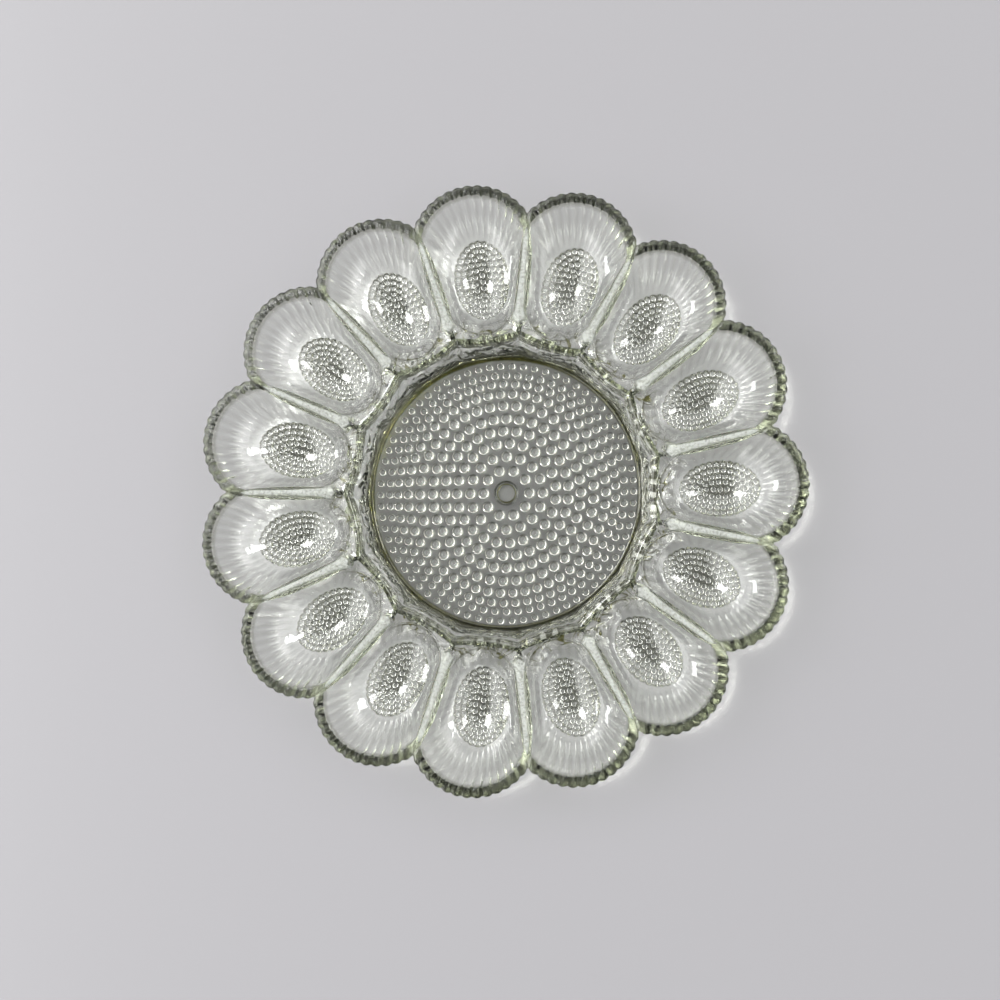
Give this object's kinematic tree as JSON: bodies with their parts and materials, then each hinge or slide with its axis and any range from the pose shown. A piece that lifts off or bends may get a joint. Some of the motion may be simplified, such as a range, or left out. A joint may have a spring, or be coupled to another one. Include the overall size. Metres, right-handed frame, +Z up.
{
  "type": "deviled egg platter",
  "caption": "Round clear pressed-glass egg platter with a ring of oval wells, a scalloped fluted edge, hobnailed floors and a shallow centre dish.",
  "frame": {"origin": "on the tray's axis, level with the face of the foot ring that stands on the table", "axes": "+Z up along the tray's axis, +X through the middle of the first well"},
  "size_m": [0.2776, 0.2788, 0.028],
  "materials": {
    "glass": "polished"
  },
  "bodies": {
    "root": {"platter": "glass"}
  },
  "joints": []
}
